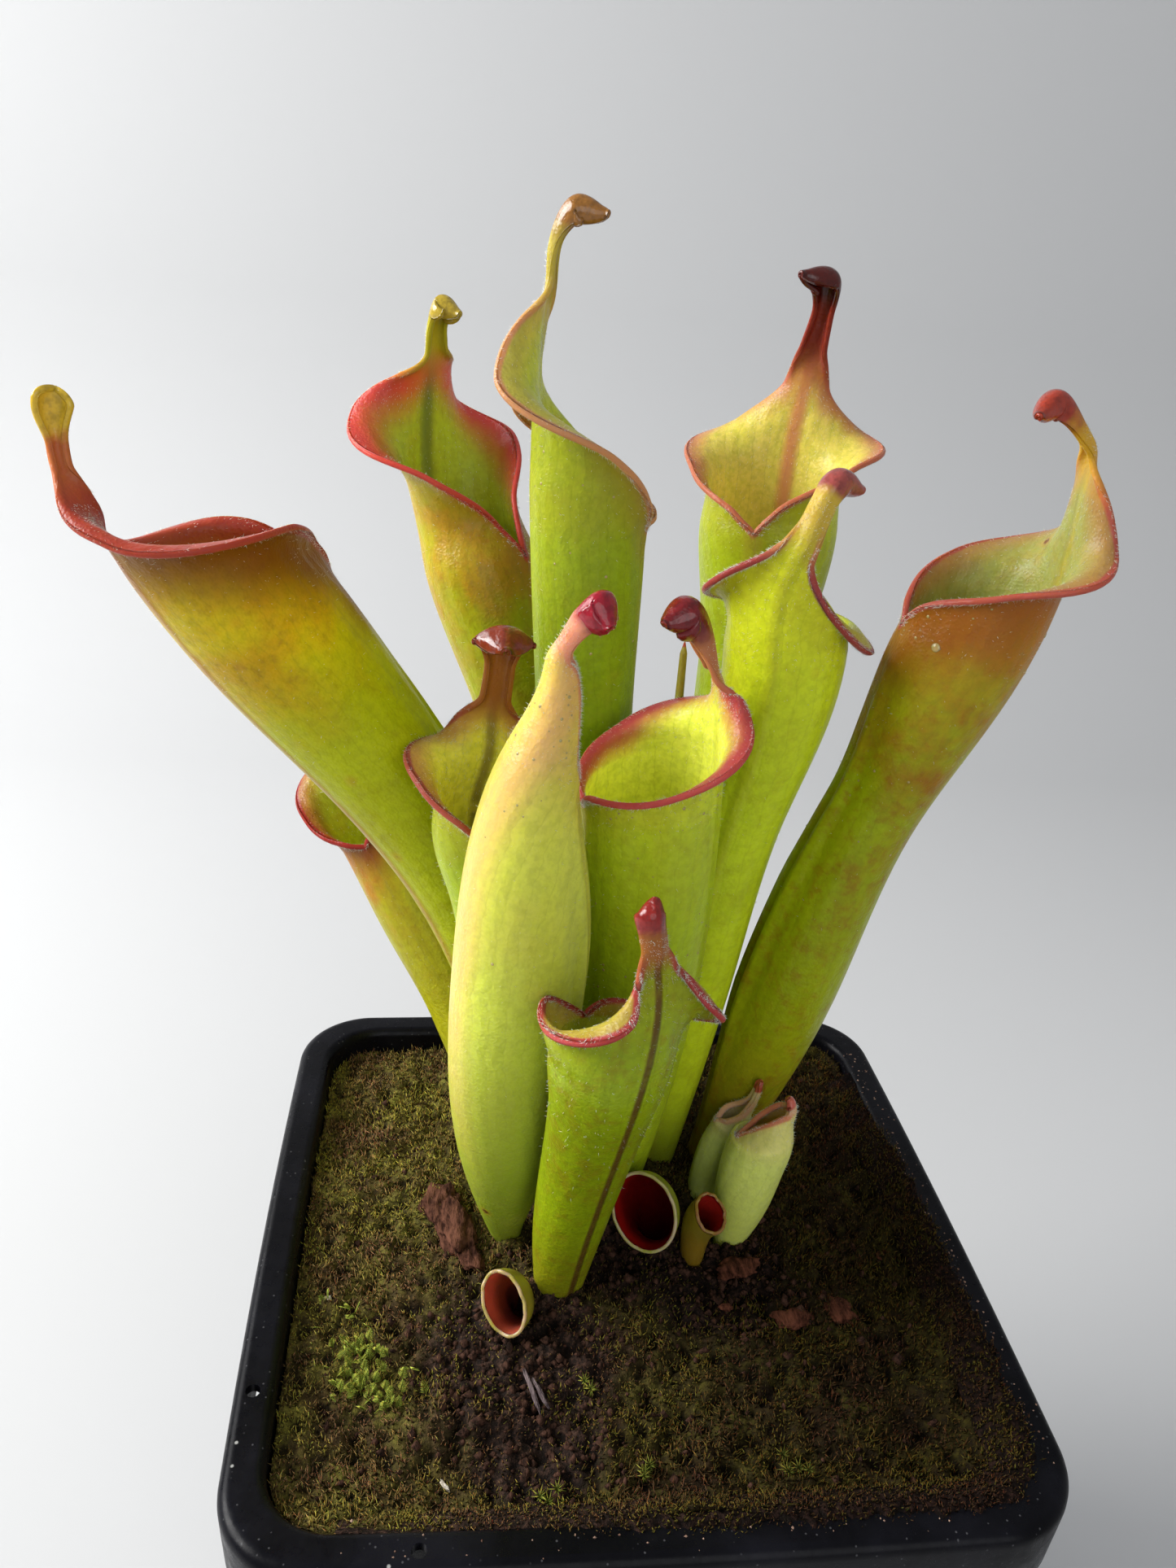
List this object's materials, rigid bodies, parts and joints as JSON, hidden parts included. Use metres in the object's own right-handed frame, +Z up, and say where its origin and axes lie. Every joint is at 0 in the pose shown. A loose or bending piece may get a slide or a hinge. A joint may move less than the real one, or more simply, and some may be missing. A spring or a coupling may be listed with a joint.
{
  "type": "potted sun pitcher plant",
  "caption": "Clump of upright trumpet-shaped sun pitchers with flared lips and small nectar spoons, growing in mossy peat in a square black nursery pot.",
  "frame": {"origin": "middle of the pot's flat underside, on the plane that it stands on", "axes": "+Z up along the pot's height; +X to the right and -Y to the front, square with the pot's sides"},
  "size_m": [0.1657, 0.1494, 0.2994],
  "materials": {
    "pot_plastic": "black injection-moulded plastic, low sheen, dusted with small pale specks",
    "soil": "damp dark peat with short olive moss and bark crumbs",
    "leaf_green": "satin waxy leaf, yellow-green with a red lip and a glossy dark red spoon",
    "leaf_amber": "satin waxy leaf, olive to amber, blotched with orange and red near the lip",
    "leaf_pale": "satin waxy leaf, pale yellow-green flushed with pink",
    "leaf_dark": "satin juvenile leaf, green-brown outside and deep red inside"
  },
  "bodies": {
    "root": {"pot": "pot_plastic", "soil": "soil", "pitcher_left_tall": "leaf_amber", "pitcher_left_low": "leaf_amber", "pitcher_back_left": "leaf_green", "pitcher_centre_tall": "leaf_green", "pitcher_back_right": "leaf_green", "pitcher_mid_right": "leaf_green", "pitcher_right_tall": "leaf_amber", "pitcher_closed": "leaf_pale", "pitcher_centre_open": "leaf_green", "pitcher_front_small": "leaf_green", "pitcher_mid_left": "leaf_green", "juvenile_tube_front": "leaf_green", "juvenile_tube_dark": "leaf_dark", "young_pitcher_right": "leaf_pale", "young_pitcher_small": "leaf_pale", "juvenile_tube_left": "leaf_green", "young_leaf_spike": "leaf_green"}
  },
  "joints": []
}
